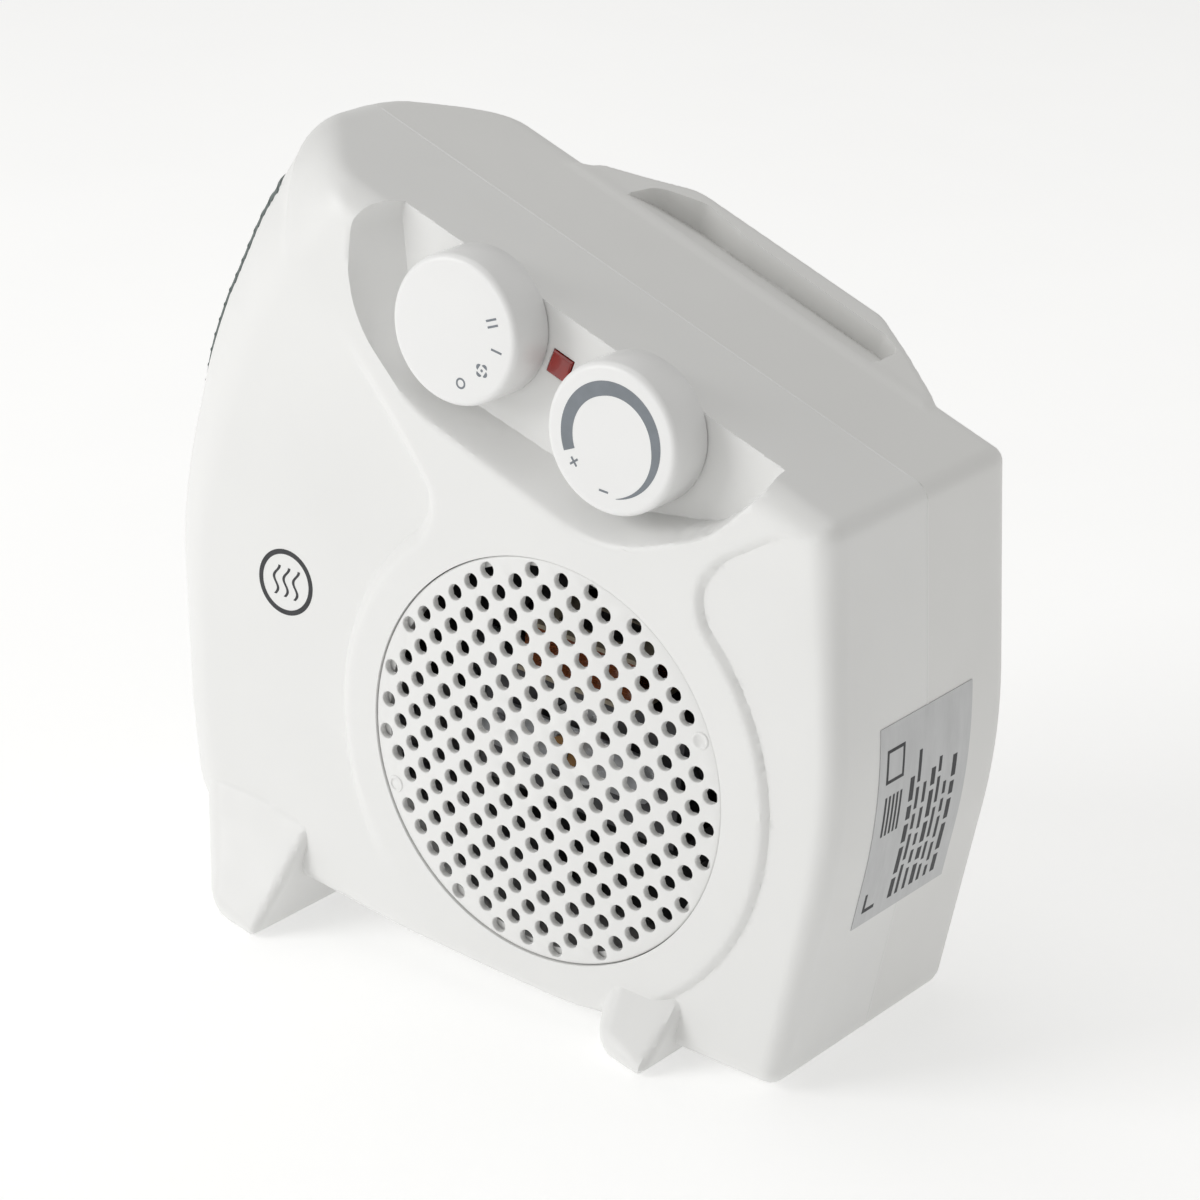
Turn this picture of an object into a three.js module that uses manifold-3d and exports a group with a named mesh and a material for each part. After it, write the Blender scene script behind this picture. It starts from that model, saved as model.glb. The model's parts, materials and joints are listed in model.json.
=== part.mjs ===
// Ceramic fan heater for standing or lying use. Millimetres, Z up.
// The design frame has its origin at the centre of the intake grille, on the front
// face: X to the right, Y into the body, Z up the body. The last section leans the
// whole design so that the four soles stand on Z = 0.
import * as THREE from 'three';
import { mergeVertices } from 'three/addons/utils/BufferGeometryUtils.js';
import Module from 'manifold-3d';

const wasm = await Module();
wasm.setup();

// ---- driving dimensions ----
const PITCH = 5;                       // grille hole lattice, half the diagonal spacing
const DEPTH = 95;                      // front face to rear face
const PARTING = DEPTH / 2;             // where the two shells meet
const WALL = 2.6;
const GAP = 0.3;                       // air between pieces that touch
const WING_Y = 3.5;                    // side wings lie this far behind the plateau
const EDGE_Y = 14;                     // depth of the rounded front and rear edges
const PLATEAU_R = 74;
const GRILLE_R = 59.3;
const HOLE_R = 2.3;
const DOME = 2.7;                      // crown of the grille
const SCOOP_Y = 13.5;                  // floor of the knob recess
const KNOB_R = 21.25;
const KNOB_HEIGHT = 14.7;
const MODE_AT = [-41.9, 115.5];        // knob axes, x and z
const THERMOSTAT_AT = [12.5, 100.6];
const LAMP_AT = [-15.5, 109.5];
const TOP_SLOPE = -16.3 * Math.PI / 180;
const FOOT_REACH = 15;                 // soles stand out this far, front and rear
const LEAN = 4.7 * Math.PI / 180;
const SOLE_X = -87.4;                  // a point of the sole line in the design frame
const SOLE_Z = -85.4;
const OUTLET_Z = [-5, 133];
const OUTLET_Y = [16, 79];
const RIB_PITCH = 5;
const PLATE_Y = 44;                    // front plate of the fan scroll
const WHEEL_R = 51;
const SCROLL_BACK_Y = 86;
const SCREW_R = 1.7;
const SCREW_HEAD_R = 3.4;
const CASE_SCREWS = [[-90, 112], [64, 82], [74, -50], [-104, -52]];
const STRAP_SCREWS = [[-52, 0], [52, 0]];
const INLET_AT = [72, -20];            // cord inlet, x and z

// Corners of the side outline, x, z and radius, clockwise from the top left.
const OUTLINE = [
  [-111.5, 152, 20], [82, 95.3, 6], [94.4, 12.5, 170],
  [85, -69.25, 6], [-130, -69.25, 8], [-154, 55, 165],
];

// ---- geometry helpers ----
function signedVolume(geometry) {
  const p = geometry.attributes.position;
  const index = geometry.index;
  const a = new THREE.Vector3(), b = new THREE.Vector3(), c = new THREE.Vector3();
  let sum = 0;
  for (let i = 0; i < index.count; i += 3) {
    a.fromBufferAttribute(p, index.getX(i));
    b.fromBufferAttribute(p, index.getX(i + 1));
    c.fromBufferAttribute(p, index.getX(i + 2));
    sum += a.dot(b.cross(c));
  }
  return sum;
}

function solid(geometry) {
  const bare = geometry.clone();
  bare.deleteAttribute('normal');
  bare.deleteAttribute('uv');
  const merged = mergeVertices(bare, 1e-4);
  const triVerts = Uint32Array.from(merged.index.array);
  if (signedVolume(merged) < 0) {
    for (let i = 0; i < triVerts.length; i += 3) {
      [triVerts[i], triVerts[i + 1]] = [triVerts[i + 1], triVerts[i]];
    }
  }
  const vertProperties = Float32Array.from(merged.attributes.position.array);
  return new wasm.Manifold(new wasm.Mesh({ numProp: 3, vertProperties, triVerts }));
}

function geometryOf(manifold) {
  const mesh = manifold.getMesh();
  const geometry = new THREE.BufferGeometry();
  geometry.setAttribute('position', new THREE.BufferAttribute(mesh.vertProperties, 3));
  geometry.setIndex(new THREE.BufferAttribute(mesh.triVerts, 1));
  geometry.computeVertexNormals();
  return geometry;
}

const join = (...solids) => solids.reduce((all, next) => all.add(next));
const cut = (body, ...tools) => tools.reduce((rest, tool) => rest.subtract(tool), body);

// A solid whose section is drawn in x and z, from y0 to y1.
function prism(points, y0, y1) {
  const shape = new THREE.Shape(points.map(([x, z]) => new THREE.Vector2(x, z)));
  const body = new THREE.ExtrudeGeometry(shape, { depth: y1 - y0, bevelEnabled: false });
  return solid(body.rotateX(Math.PI / 2).translate(0, y1, 0));
}

function box(x0, x1, y0, y1, z0, z1) {
  const body = new THREE.BoxGeometry(x1 - x0, y1 - y0, z1 - z0);
  return solid(body.translate((x0 + x1) / 2, (y0 + y1) / 2, (z0 + z1) / 2));
}

// A round bar along Y through the point (x, z).
function rod(x, z, radius, y0, y1, sides = 24) {
  const body = new THREE.CylinderGeometry(radius, radius, y1 - y0, sides);
  return solid(body.translate(x, (y0 + y1) / 2, z));
}

const tube = (x, z, outer, inner, y0, y1, sides = 24) =>
  cut(rod(x, z, outer, y0, y1, sides), rod(x, z, inner, y0 - 1, y1 + 1, sides));

// A turned solid about the Y axis through (x, z); the profile is a closed list of r and y.
function turned(x, z, profile, sides = 36) {
  const points = [...profile, profile[0]].map(([r, y]) => new THREE.Vector2(r, y));
  return solid(new THREE.LatheGeometry(points, sides).translate(x, 0, z));
}

// Rings of points with the same count, joined by walls and closed by fans.
function loft(rings) {
  const count = rings[0].length;
  const positions = rings.flat(2);
  const index = [];
  for (let k = 0; k + 1 < rings.length; k += 1) {
    for (let i = 0; i < count; i += 1) {
      const j = (i + 1) % count;
      const a = k * count + i, b = k * count + j;
      index.push(a, b, b + count, a, b + count, a + count);
    }
  }
  [0, rings.length - 1].forEach((k) => {
    const centre = positions.length / 3;
    const middle = [0, 1, 2].map((axis) => rings[k].reduce((sum, p) => sum + p[axis] / count, 0));
    positions.push(...middle);
    for (let i = 0; i < count; i += 1) {
      const a = k * count + i, b = k * count + (i + 1) % count;
      index.push(...(k === 0 ? [centre, b, a] : [centre, a, b]));
    }
  });
  const geometry = new THREE.BufferGeometry();
  geometry.setAttribute('position', new THREE.Float32BufferAttribute(positions, 3));
  geometry.setIndex(index);
  return solid(geometry);
}

// A polygon with rounded corners, each given as x, z and radius.
function rounded(corners, step = 0.32) {
  const points = [];
  corners.forEach(([x, z, radius], i) => {
    const here = new THREE.Vector2(x, z);
    const before = new THREE.Vector2(...corners.at(i - 1)).sub(here).normalize();
    const after = new THREE.Vector2(...corners[(i + 1) % corners.length]).sub(here).normalize();
    const half = Math.acos(before.dot(after)) / 2;
    const turn = Math.PI - 2 * half;
    const bisector = before.clone().add(after).normalize();
    const centre = here.clone().addScaledVector(bisector, radius / Math.sin(half));
    const first = here.clone().addScaledVector(before, radius / Math.tan(half)).sub(centre);
    const sense = Math.sign(before.cross(after));
    const steps = Math.max(2, Math.ceil(turn / step));
    for (let k = 0; k <= steps; k += 1) {
      const p = first.clone().rotateAround(new THREE.Vector2(), -sense * turn * k / steps);
      points.push([centre.x + p.x, centre.y + p.y]);
    }
  });
  return points;
}

const circle = (x, z, radius, sides) => Array.from({ length: sides }, (_, i) => {
  const angle = 2 * Math.PI * i / sides;
  return [x + radius * Math.cos(angle), z + radius * Math.sin(angle)];
});

// Points along the top edge: distance along it from the top left corner, and height above it.
function alongTop(distance, height) {
  const [x, z] = OUTLINE[0];
  const c = Math.cos(TOP_SLOPE), s = Math.sin(TOP_SLOPE);
  return [x + distance * c - height * s, z + distance * s + height * c];
}

// ---- the two shells ----
const outline = rounded(OUTLINE, 0.3);
const OUTLINE_CENTRE = [10, 10];

// The side outline drawn in towards its centre, at depth y.
function ring(inset, y) {
  const [cx, cz] = OUTLINE_CENTRE;
  return outline.map(([x, z]) => [cx + (x - cx) * (1 - inset), y, cz + (z - cz) * (1 - inset)]);
}

// Half of the body from the parting plane to its face, with a rounded edge.
function half(parting, face, inset) {
  const way = Math.sign(face - parting);
  return loft([
    ring(inset, parting),
    ring(inset + 0.004, face - way * EDGE_Y),
    ring(inset + 0.03, face - way * EDGE_Y * 0.3),
    ring(inset + 0.09, face),
  ]);
}

// The plateau round the grille, which widens above its neck to take in the knob recess.
function keyhole() {
  const left = [[-110, 165], [-100, 122], [-67, 87], [-53, 73], [-49, 64.5], [-53, 53]];
  const right = [[50, 55], [46.5, 64.5], [49, 73], [58, 82], [88, 92], [120, 100]];
  const points = [...left];
  const start = Math.atan2(53, -53), end = Math.atan2(55, 50) + 2 * Math.PI;
  const steps = 30;
  for (let i = 1; i < steps; i += 1) {
    const angle = start + (end - start) * i / steps;
    points.push([PLATEAU_R * Math.cos(angle), PLATEAU_R * Math.sin(angle)]);
  }
  return prism([...points, ...right], -1, WING_Y + 1);
}

// The leaf-shaped knob recess, open through the top edge of the front shell.
function scoop(grow) {
  const leaf = [
    [-60, 165, 1], [-77, 148, 14], [-80, 112, 24], [-55, 88.5, 34], [11, 67, 38],
    [45, 83, 28], [61, 101, 8], [62, 125, 1],
  ];
  const centre = [-12, 110];
  const sized = (scale) => rounded(leaf, 0.35).map(([x, z]) => [
    centre[0] + (x - centre[0]) * (scale + grow / 55),
    centre[1] + (z - centre[1]) * (scale + grow / 40),
  ]);
  const mouth = sized(1).map(([x, z]) => [x, -2, z]);
  const floor = sized(0.84).map(([x, z]) => [x, SCOOP_Y + grow, z]);
  return loft([mouth, floor]);
}

const soleZ = (x) => SOLE_Z + (x - SOLE_X) * Math.tan(LEAN);

// One foot: a fin from the lower body to its sole, which stands out past the face.
function foot(top, sole, shell) {
  const front = shell === 'front';
  const toward = (y) => (front ? y : DEPTH - y);
  const inner = PARTING - GAP / 2;
  const rim = (x0, x1, y0, z) => [
    [x0, y0 + 9], [x0 + 2, y0 + 3], [x0 + 7, y0], [x1 - 2, y0], [x1, y0 + 2], [x1, inner], [x0, inner],
  ].map(([x, y]) => [x, toward(y), z(x)]);
  return loft([
    rim(top[0], top[1], WING_Y + 1.5, () => -50),
    rim(sole[0] - 1, sole[1], -FOOT_REACH + 1, (x) => soleZ(x) + 3),
    rim(sole[0] + 2, sole[1] - 1, -FOOT_REACH + 2.5, soleZ),
  ]);
}

const feet = (shell) => join(
  foot([-129, -79], [-109, -87.4], shell),
  foot([27.5, 55.5], [33, 53.6], shell),
);

function outletCut() {
  return box(-170, -100, OUTLET_Y[0], OUTLET_Y[1], OUTLET_Z[0], OUTLET_Z[1]);
}

function frontShell() {
  const plane = PARTING - GAP / 2;
  const wings = cut(box(-200, 200, -2, WING_Y, -200, 200), keyhole());
  const skin = cut(half(plane, 0, 0), wings, scoop(0));
  const hollow = cut(half(plane + 5, WING_Y + WALL, 0.024), scoop(WALL));
  const shell = cut(join(skin, feet('front')), hollow);
  const holes = [
    rod(0, 0, GRILLE_R + 0.5, -1, 2.9, 48),
    rod(0, 0, GRILLE_R - 3, -1, 9, 48),
    rod(...MODE_AT, 5.6, 10, 20, 16),
    rod(...THERMOSTAT_AT, 5.6, 10, 20, 16),
    lampWindow(3.8, 10, 20),
    outletCut(),
  ];
  const bosses = CASE_SCREWS.map(([x, z]) => tube(x, z, 4.4, 2, WING_Y + WALL - 0.5, plane - 1.5, 12));
  return join(cut(shell, ...holes), ...bosses);
}

// The grip at the top rear: a ledge that stands out behind, with a thumb recess on top.
function grip() {
  const section = (inset, y) => {
    const corners = [
      [46 + inset, -15 + inset, 4], [158 - inset, -15 + inset, 4],
      [158 - inset, -inset, 3], [46 + inset, -inset, 3],
    ];
    const placed = corners.map(([d, h, r]) => [...alongTop(d, h), r]);
    return rounded(placed, 0.6).map(([x, z]) => [x, y, z]);
  };
  return loft([section(0, 84), section(1, 104), section(4, 111), section(8, 113)]);
}

// A wedge along the top between two distances, its corners given as depth and height above it.
function alongWedge(corners, from, to) {
  const end = (distance) => corners.map(([y, height]) => {
    const [x, z] = alongTop(distance, height);
    return [x, y, z];
  });
  return loft([end(from), end(to)]);
}

function thumbRecess() {
  return alongWedge([[82, 1], [102.5, -4.6], [105, 1]], 68, 151);
}

function rearShell() {
  const plane = PARTING + GAP / 2;
  const skin = join(half(plane, DEPTH, 0), cut(grip(), thumbRecess()));
  const hollow = cut(half(plane - 5, DEPTH - WALL, 0.024), thumbRecessFloor());
  const shell = cut(join(skin, feet('rear')), thumbRecess(), hollow);
  const bosses = CASE_SCREWS.map(([x, z]) => tube(x, z, 5, 2.2, plane + 0.5, DEPTH - WALL + 0.5, 12));
  const sinks = CASE_SCREWS.map(([x, z]) => rod(x, z, 4, DEPTH - 3.2, DEPTH + 1, 16));
  const holes = CASE_SCREWS.map(([x, z]) => rod(x, z, 2.2, DEPTH - 8, DEPTH + 1, 12));
  const inlet = rod(...INLET_AT, 6.4, DEPTH - 10, DEPTH + 3, 20);
  return cut(join(shell, ...bosses), ...sinks, ...holes, outletCut(), inlet);
}

// Keeps wall under the recess where it runs into the hollow body.
function thumbRecessFloor() {
  return alongWedge([[78, 4], [78, -4], [96, -9], [96, 4]], 63, 154);
}

// ---- grilles ----
function latticeHoles() {
  const spots = [];
  for (let i = -11; i <= 11; i += 1) {
    for (let j = -11; j <= 11; j += 1) {
      const fixing = Math.abs(i) === 10 && i === 2 * j;
      if ((i + j) % 2 !== 0 && Math.hypot(i, j) <= 11.2 && !fixing) spots.push([i * PITCH, j * PITCH]);
    }
  }
  return spots;
}

// A perforated disc, then crowned towards the front by moving its points.
function intakeGrille() {
  const shape = new THREE.Shape(circle(0, 0, GRILLE_R, 48).map(([x, z]) => new THREE.Vector2(x, z)));
  shape.holes = latticeHoles().map(([x, z]) => new THREE.Path(
    circle(x, z, HOLE_R, 6).reverse().map(([u, v]) => new THREE.Vector2(u, v))));
  const body = new THREE.ExtrudeGeometry(shape, { depth: 2, bevelEnabled: false, curveSegments: 1 });
  body.rotateX(Math.PI / 2).translate(0, 2.5, 0);
  const p = body.attributes.position;
  for (let i = 0; i < p.count; i += 1) {
    const fraction = Math.hypot(p.getX(i), p.getZ(i)) / GRILLE_R;
    p.setY(i, p.getY(i) - DOME * Math.max(0, 1 - fraction * fraction));
  }
  return solid(body);
}

// Where the outline crosses a height, on its left (way -1) or right (way 1) side.
function sideAt(z, way) {
  const crossings = outline.flatMap(([x0, z0], i) => {
    const [x1, z1] = outline[(i + 1) % outline.length];
    return (z0 - z) * (z1 - z) <= 0 && z0 !== z1 ? [x0 + (x1 - x0) * (z - z0) / (z1 - z0)] : [];
  });
  return way * Math.max(...crossings.map((x) => way * x));
}

// Points up one side of the outline, moved outwards by an offset.
function sideCurve(way, offset, z0, z1, count) {
  return Array.from({ length: count }, (_, i) => {
    const z = z0 + (z1 - z0) * i / (count - 1);
    return [sideAt(z, way) + way * offset, z];
  });
}

// How far the outlet grille stands out of the side: more towards the top.
const ribHeight = (z) => 1.2 + 2.6 * THREE.MathUtils.smoothstep(z, 30, 66);

function outletGrille() {
  const z0 = OUTLET_Z[0] + GAP, z1 = OUTLET_Z[1] - GAP;
  const y0 = OUTLET_Y[0] + GAP, y1 = OUTLET_Y[1] - GAP;
  const face = sideCurve(-1, 0, z0, z1, 12).map(([x, z]) => [x - ribHeight(z), z]);
  const back = sideCurve(-1, -3, z0, z1, 12).reverse();
  const middle = (y0 + y1) / 2;
  const windows = [];
  for (let z = z0 + 4; z < z1 - 5; z += RIB_PITCH) {
    windows.push(box(-170, -90, y0 + 3, middle - 1, z, z + RIB_PITCH - 2));
    windows.push(box(-170, -90, middle + 1, y1 - 3, z, z + RIB_PITCH - 2));
  }
  return cut(prism([...face, ...back], y0, y1), ...windows);
}

// ---- controls ----
function knob(spot) {
  const rear = SCOOP_Y - GAP, front = rear - KNOB_HEIGHT;
  return turned(...spot, [
    [0, front], [KNOB_R - 3, front], [KNOB_R - 1, front + 0.8], [KNOB_R - 0.3, front + 2.4],
    [KNOB_R, rear], [KNOB_R - 2.4, rear], [KNOB_R - 2.8, front + 3.2], [6, front + 3.2],
    [5.4, rear], [3.3, rear], [3.3, front + 5], [0, front + 5],
  ], 28);
}

function controlShaft([x, z]) {
  const flat = box(x - 4, x + 4, 2, 9, z + 1.8, z + 5);
  return cut(rod(x, z, 3, 4, 22, 16), flat);
}

function rotarySwitch() {
  const [x, z] = MODE_AT;
  const inner = SCOOP_Y + WALL + GAP;
  const body = join(rod(x, z, 9.5, inner, 34, 20), box(x - 12, x + 12, inner, inner + 3, z - 9, z + 5));
  const tabs = [-6, -2, 2, 6].map((dx) => box(x + dx - 0.5, x + dx + 0.5, 33, 41, z - 3, z + 3));
  return cut(join(body, ...tabs), rod(x, z, 3.3, inner - 1, 24, 16));
}

function thermostatBody() {
  const [x, z] = THERMOSTAT_AT;
  const inner = SCOOP_Y + WALL + GAP;
  const bush = rod(x, z, 7, inner, inner + 6, 16);
  const frame = box(x - 15, x + 11, inner + 5, 33, z - 8.5, z + 7);
  return cut(join(bush, frame), rod(x, z, 3.3, inner - 1, 24, 16));
}

function turnedBox([x, z], size, y0, y1) {
  const body = new THREE.BoxGeometry(size * 2, y1 - y0, size * 2).rotateY(-TOP_SLOPE);
  return solid(body.translate(x, (y0 + y1) / 2, z));
}

const lampWindow = (size, y0, y1) => turnedBox(LAMP_AT, size, y0, y1);

function lampLens() {
  return join(lampWindow(3.4, SCOOP_Y + 0.6, 17), lampWindow(5, 16.4, 19));
}

function lampTube() {
  return turned(...LAMP_AT, [[0, 19.4], [1.8, 20], [2.6, 22], [2.6, 30], [1.2, 32], [0, 32]], 12);
}

// ---- motor ----
const MOTOR = { y0: 18, y1: 32, bolt: 24 };

function laminations() {
  const { y0, y1, bolt } = MOTOR;
  const frame = box(-34, 34, y0, y1, -21, 34);
  const sides = [box(-40, -11.5, y0 - 1, y1 + 1, 17.5, 40), box(11.5, 40, y0 - 1, y1 + 1, 17.5, 40)];
  const bore = rod(0, 0, 12.6, y0 - 1, y1 + 1, 24);
  const bolts = [-bolt, bolt].map((x) => rod(x, 0, 2.1, y0 - 1, y1 + 1, 12));
  return cut(frame, ...sides, bore, ...bolts);
}

function coilBobbin() {
  const { y0, y1 } = MOTOR;
  const flange = (z) => box(-20, 20, y0 - 6, y1 + 6, z, z + 1.2);
  const core = box(-13.2, 13.2, y0 - 1.5, y1 + 1.5, 18, 34.5);
  const bore = box(-11.8, 11.8, y0 - 0.3, y1 + 0.3, 17, 36);
  return cut(join(flange(18), flange(32.6), core), bore);
}

function motorCoil() {
  const { y0, y1 } = MOTOR;
  const winding = prism(rounded([[-19, 19.5, 0.5], [19, 19.5, 0.5], [19, 32.3, 0.5], [-19, 32.3, 0.5]], 1), y0 - 5, y1 + 5);
  return cut(winding, box(-13.5, 13.5, y0 - 1.8, y1 + 1.8, 17, 35));
}

function motorBracket(y, way) {
  const arm = prism(rounded([[-30, -7, 5], [30, -7, 5], [30, 7, 5], [-30, 7, 5]], 0.6), y, y + 1.5);
  const posts = [-MOTOR.bolt, MOTOR.bolt].map((x) => (way < 0
    ? rod(x, 0, 4, y + 1.2, MOTOR.y0 - GAP, 12) : rod(x, 0, 4, MOTOR.y1 + GAP, y + 0.3, 12)));
  const holes = [-MOTOR.bolt, MOTOR.bolt].map((x) => rod(x, 0, 2.1, 5, 50, 12));
  return cut(join(arm, ...posts), rod(0, 0, 5.3, y - 1, y + 3, 16), ...holes);
}

const bearing = (y0, y1) => tube(0, 0, 5, 1.9, y0, y1, 16);

function mountStrap() {
  const strap = prism(rounded([[-57, -11, 6], [57, -11, 6], [57, 11, 6], [-57, 11, 6]], 0.6), 42, 43.6);
  const holes = [-52, -MOTOR.bolt, MOTOR.bolt, 52].map((x) => rod(x, 0, 2.1, 40, 46, 12));
  return cut(strap, rod(0, 0, 8, 40, 46, 16), ...holes);
}

// A pan-head screw along Y; way is -1 where the head faces the front.
function screw([x, z], y0, y1, way) {
  const height = SCREW_HEAD_R * 0.6;
  const head = way < 0 ? [y0 - height, y0 + 0.2] : [y1 - 0.2, y1 + height];
  return join(rod(x, z, SCREW_R, y0, y1, 8), rod(x, z, SCREW_HEAD_R, ...head, 10));
}

// ---- fan ----
const shaft = () => rod(0, 0, 1.55, 7, 84, 10);

const rotor = () => tube(0, 0, 12.1, 1.9, MOTOR.y0 - 1, MOTOR.y1 + 1, 24);

function blowerWheel() {
  const back = rod(0, 0, WHEEL_R, 80, 82, 36);
  const rim = tube(0, 0, WHEEL_R, WHEEL_R - 13, 47.5, 50, 36);
  const hub = rod(0, 0, 7, 60, 81, 16);
  const blades = Array.from({ length: 24 }, (_, i) => {
    const body = new THREE.BoxGeometry(12.5, 31, 1.3).rotateY(0.55).translate(WHEEL_R - 7, 65, 0);
    return solid(body.rotateY(2 * Math.PI * i / 24));
  });
  return cut(join(back, rim, hub, ...blades), rod(0, 0, 1.9, 59, 83, 12));
}

const wheelClip = () => tube(0, 0, 5.5, 1.9, 82.4, 83.6, 12);

// The scroll opens round the wheel, counter-clockwise from its tongue, to the outlet duct.
function scrollPath(offset) {
  const points = [];
  for (let i = 0; i <= 22; i += 1) {
    const angle = Math.PI * (1.1 + 1.42 * i / 22);
    const radius = 54 + i + offset;
    points.push([radius * Math.cos(angle), radius * Math.sin(angle)]);
  }
  return points;
}

const DUCT_X = -121;
const ductSection = (wall) => [...scrollPath(wall), [DUCT_X - wall, 103 + wall], [DUCT_X - wall, -wall]];

function fanScroll() {
  const mouth = box(DUCT_X - 5, DUCT_X + 0.1, 40, SCROLL_BACK_Y - 2, 0, 103);
  return cut(prism(ductSection(1.8), 46.4, SCROLL_BACK_Y), prism(ductSection(0), 40, SCROLL_BACK_Y - 2), mouth);
}

function intakePlate() {
  const plate = prism(ductSection(1.8), PLATE_Y, PLATE_Y + 2);
  const holes = [-52, 52].map((x) => rod(x, 0, 2.1, 40, 50, 12));
  return cut(plate, rod(0, 0, 46, 40, 50, 36), ...holes);
}

// ---- heating element ----
const STACK = { x0: -119, x1: -105, z0: 7, z1: 92, y0: 48, y1: 83.4, bars: [56.7, 65.7, 74.7] };

function ceramicBar(y) {
  return box(STACK.x0, STACK.x1, y - 2.2, y + 2.2, STACK.z0, STACK.z1);
}

function finPack(y0, y1) {
  const count = 12;
  const step = (STACK.z1 - STACK.z0 - 2) / count;
  const leaves = Array.from({ length: count }, (_, i) => {
    const z = STACK.z0 + 1 + step * (i + 0.5);
    const leaf = new THREE.BoxGeometry(STACK.x1 - STACK.x0 - 1, y1 - y0 - 0.2, 0.7);
    return solid(leaf.translate((STACK.x0 + STACK.x1) / 2, (y0 + y1) / 2, z));
  });
  const carriers = [[y0, y0 + 0.6], [y1 - 0.6, y1]].map(([a, b]) =>
    box(STACK.x0, STACK.x1, a, b, STACK.z0, STACK.z1));
  return join(...carriers, ...leaves);
}

function elementHolder(z0, z1, lip) {
  const x0 = STACK.x0 - 1.5, x1 = STACK.x1 + 1.5;
  const body = box(x0, x1, STACK.y0, STACK.y1, z0, z1);
  const ends = [[STACK.y0, STACK.y0 + 1.6], [STACK.y1 - 1.6, STACK.y1]].map(([a, b]) => box(x0, x1, a, b, ...lip));
  return join(body, ...ends);
}

const elementTab = (y) => box(STACK.x1 + 1.8, STACK.x1 + 10, y - 3, y + 3, 4, 4.8);

function thermalCutout() {
  const disc = new THREE.CylinderGeometry(8, 8, 6, 20).translate(-100, 40.6, 60);
  const tabs = [-4, 4].map((dz) => box(-101, -99, 31, 38, 60 + dz - 2.5, 60 + dz + 2.5));
  return join(solid(disc), ...tabs);
}

// ---- inlet, terminal block, label and badge ----
function cordGland() {
  return turned(...INLET_AT, [
    [3.6, 88], [6, 88], [6, 95.4], [8.5, 95.4], [8.5, 97.5], [6.5, 98.5], [5.2, 108], [3.6, 108],
  ], 20);
}

function terminalBlock() {
  const block = box(76, 85, 56, 72, 0, 28);
  const wells = [5, 14, 23].map((z) => rod(80.5, z, 2, 54, 60, 8));
  return cut(block, ...wells);
}

function ratingLabel() {
  const near = sideCurve(1, GAP, -26, 35, 7);
  const far = sideCurve(1, GAP + 0.3, -26, 35, 7).reverse();
  return prism([...near, ...far], 23, 71);
}

function roundBadge() {
  const y = WING_Y - GAP;
  return tube(-97.7, 21, 10, 8.4, y - 0.3, y, 32);
}

// ---- assembly ----
const COLOURS = {
  white_plastic: ['#e8e8e6', 0.5, 0], rear_plastic: ['#dededb', 0.5, 0], knob_plastic: ['#eeeeec', 0.45, 0],
  outlet_grey: ['#6b7674', 0.6, 0], black_plastic: ['#26282a', 0.6, 0], cream_plastic: ['#d8cfb8', 0.6, 0],
  steel: ['#a9adb0', 0.35, 1], silicon_steel: ['#6d7073', 0.5, 1], copper: ['#b5683a', 0.35, 1],
  aluminium: ['#c3c6c8', 0.35, 1], brass: ['#c2a15a', 0.35, 1], bronze: ['#9a7a4a', 0.5, 1],
  ceramic: ['#e9e4d6', 0.7, 0], red_lens: ['#8c2620', 0.2, 0], glass: ['#f1d8c4', 0.1, 0],
  sticker: ['#d6d7d8', 0.4, 0.3], ink: ['#3a3d40', 0.6, 0],
};

const materials = Object.fromEntries(Object.entries(COLOURS).map(([name, [color, roughness, metalness]]) =>
  [name, new THREE.MeshStandardMaterial({ name, color, roughness, metalness })]));

const heater = new THREE.Group();
const design = new THREE.Group();
heater.add(design);

function part(name, body, material) {
  const mesh = new THREE.Mesh(geometryOf(body), materials[material]);
  mesh.name = name;
  design.add(mesh);
}

part('front_shell', frontShell(), 'white_plastic');
part('rear_shell', rearShell(), 'rear_plastic');
part('intake_grille', intakeGrille(), 'white_plastic');
part('outlet_grille', outletGrille(), 'outlet_grey');
CASE_SCREWS.forEach((spot, i) => part(`case_screw_${i + 1}`, screw(spot, 30, DEPTH - 2.9, 1), 'steel'));
part('mode_knob', knob(MODE_AT), 'knob_plastic');
part('mode_shaft', controlShaft(MODE_AT), 'cream_plastic');
part('rotary_switch', rotarySwitch(), 'cream_plastic');
part('thermostat_knob', knob(THERMOSTAT_AT), 'knob_plastic');
part('thermostat_shaft', controlShaft(THERMOSTAT_AT), 'brass');
part('thermostat_body', thermostatBody(), 'steel');
part('lamp_lens', lampLens(), 'red_lens');
part('neon_lamp', lampTube(), 'glass');
part('motor_laminations', laminations(), 'silicon_steel');
part('coil_bobbin', coilBobbin(), 'black_plastic');
part('motor_coil', motorCoil(), 'copper');
part('motor_bracket_front', motorBracket(11, -1), 'steel');
part('motor_bracket_rear', motorBracket(38, 1), 'steel');
part('bearing_front', bearing(9, 14.5), 'bronze');
part('bearing_rear', bearing(36, 41), 'bronze');
part('motor_strap', mountStrap(), 'steel');
[-MOTOR.bolt, MOTOR.bolt].forEach((x, i) => part(`motor_bolt_${i + 1}`, screw([x, 0], 10.7, 45.5, -1), 'steel'));
STRAP_SCREWS.forEach((spot, i) => part(`strap_screw_${i + 1}`, screw(spot, 41.7, 46.8, -1), 'steel'));
part('motor_shaft', shaft(), 'steel');
part('motor_rotor', rotor(), 'aluminium');
part('blower_wheel', blowerWheel(), 'black_plastic');
part('wheel_clip', wheelClip(), 'steel');
part('fan_scroll', fanScroll(), 'black_plastic');
part('intake_plate', intakePlate(), 'black_plastic');
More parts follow.
